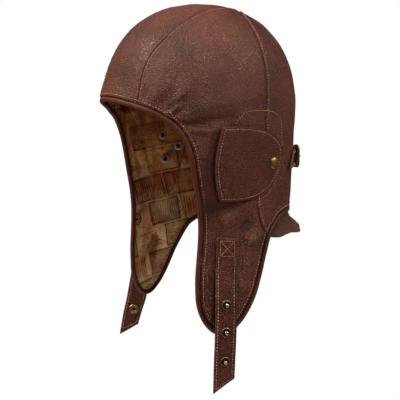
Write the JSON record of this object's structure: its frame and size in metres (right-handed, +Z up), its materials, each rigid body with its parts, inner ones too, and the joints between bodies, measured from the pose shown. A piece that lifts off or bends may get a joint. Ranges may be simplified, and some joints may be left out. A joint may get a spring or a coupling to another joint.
{
  "type": "leather flying helmet",
  "caption": "Close-fitting leather flying helmet with hanging ear flaps, snapped ear covers, chin straps, a buckled nape strap, a flared neck skirt and a printed cloth lining.",
  "frame": {"origin": "inside of the crown at its highest point, where the helmet sits on the head", "axes": "+Z up through the crown, -Y towards the wearer's face, +X to the wearer's left"},
  "size_m": [0.1993, 0.2197, 0.3866],
  "materials": {
    "crown_leather": "grained, semi-matt",
    "cover_leather": "grained, semi-matt",
    "edge_leather": "smooth, rolled",
    "skirt_leather": "thin, matt",
    "lining_cloth": "printed cotton, matt",
    "brass": "aged",
    "dark_brass": "antique",
    "eyelet_steel": "worn plate"
  },
  "bodies": {
    "root": {"front_panel": "crown_leather", "side_panel_left": "crown_leather", "side_panel_right": "crown_leather", "back_panel_left": "crown_leather", "back_panel_right": "crown_leather", "front_lining": "lining_cloth", "side_lining_left": "lining_cloth", "side_lining_right": "lining_cloth", "back_lining_left": "lining_cloth", "back_lining_right": "lining_cloth", "face_binding": "edge_leather", "neck_binding": "edge_leather", "neck_skirt": "skirt_leather", "ear_cover_left": "cover_leather", "ear_cover_right": "cover_leather", "ear_snap_left": "brass", "ear_snap_right": "brass", "eyelet_left_1": "eyelet_steel", "eyelet_left_2": "eyelet_steel", "eyelet_left_3": "eyelet_steel", "eyelet_right_1": "eyelet_steel", "eyelet_right_2": "eyelet_steel", "eyelet_right_3": "eyelet_steel", "chin_strap_left": "crown_leather", "chin_strap_right": "crown_leather", "chin_stud_1": "dark_brass", "chin_stud_2": "dark_brass", "chin_stud_3": "dark_brass", "chin_socket": "dark_brass", "nape_strap_left": "crown_leather", "nape_strap_right": "crown_leather", "nape_buckle": "dark_brass"}
  },
  "joints": []
}
